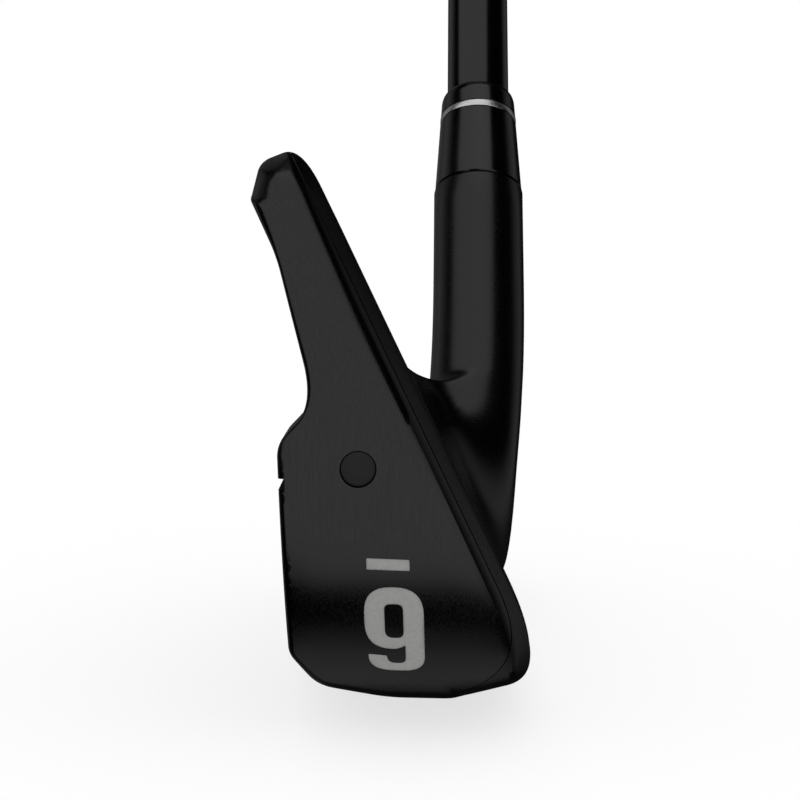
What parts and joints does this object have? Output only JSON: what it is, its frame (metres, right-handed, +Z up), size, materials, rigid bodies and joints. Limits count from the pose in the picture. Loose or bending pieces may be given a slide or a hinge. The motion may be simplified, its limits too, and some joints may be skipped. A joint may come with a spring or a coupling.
{
  "type": "iron golf club",
  "caption": "Right-handed hollow-bodied six iron in black: forged face, foam-filled body with toe port, black stepped steel shaft, ferrule with silver ring and a rubber grip",
  "frame": {"origin": "contact point in the middle of the sole, on the ground plane, with the club in its address position", "axes": "+X towards the target (the side the face looks at), -Y towards the toe, +Y towards the heel and the golfer, +Z up"},
  "size_m": [0.0414, 0.542, 0.8519],
  "materials": {
    "black_steel": "satin black PVD over finely brushed stainless steel",
    "face_steel": "satin black PVD, milled and score-lined",
    "tungsten": "bare sintered tungsten, machined",
    "foam": "injected urethane foam",
    "plug_steel": "black oxide, turned end",
    "black_shaft": "gloss black PVD over steel tube",
    "brass": "turned brass",
    "resin": "cured two-part epoxy",
    "ferrule_plastic": "polished black cellulose plastic",
    "silver_ring": "satin bright trim ring",
    "grip_tape": "double-sided cloth tape",
    "grip_rubber": "matt textured black rubber",
    "grip_cap_rubber": "smooth harder black rubber"
  },
  "bodies": {
    "root": {"head_body": "black_steel", "face_insert": "face_steel", "toe_weight": "tungsten", "foam_core": "foam", "toe_port_plug": "plug_steel", "shaft": "black_shaft", "shaft_tip_plug": "brass", "hosel_epoxy": "resin", "ferrule_sleeve": "ferrule_plastic", "ferrule_trim_ring": "silver_ring", "ferrule_collar": "ferrule_plastic", "grip_tape": "grip_tape", "grip_sleeve": "grip_rubber", "grip_end_cap": "grip_cap_rubber"}
  },
  "joints": []
}
